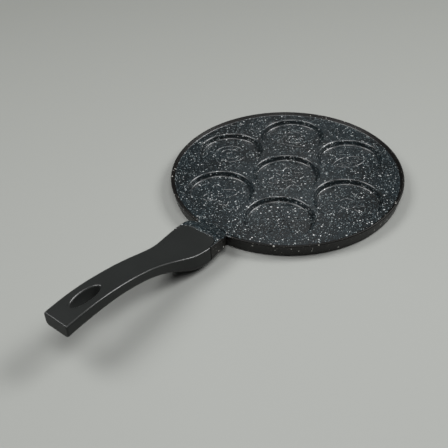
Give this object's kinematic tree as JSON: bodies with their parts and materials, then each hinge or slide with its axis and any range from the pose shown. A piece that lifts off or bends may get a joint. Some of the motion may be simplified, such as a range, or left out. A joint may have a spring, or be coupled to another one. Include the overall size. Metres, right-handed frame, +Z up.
{
  "type": "multi-well crepe pan",
  "caption": "Round cast crepe and pancake pan: shallow round wells in a flat plate with a low rim, and a long moulded handle with a hanging hole.",
  "frame": {"origin": "centre of the pan's base, on the surface that it stands on", "axes": "+X from the pan's centre along the handle, +Z up out of the wells, +Y completes a right-handed frame"},
  "size_m": [0.4701, 0.265, 0.0552],
  "materials": {
    "coated_casting": "dark slate non-stick coating with fine white and grey speckles, satin",
    "moulded_phenolic": "black moulded phenolic, fine matt texture",
    "zinc_steel": "zinc-plated steel"
  },
  "bodies": {
    "root": {"pan_body": "coated_casting", "handle_grip": "moulded_phenolic", "handle_screw": "zinc_steel", "flat_washer": "zinc_steel", "spring_washer": "zinc_steel"}
  },
  "joints": []
}
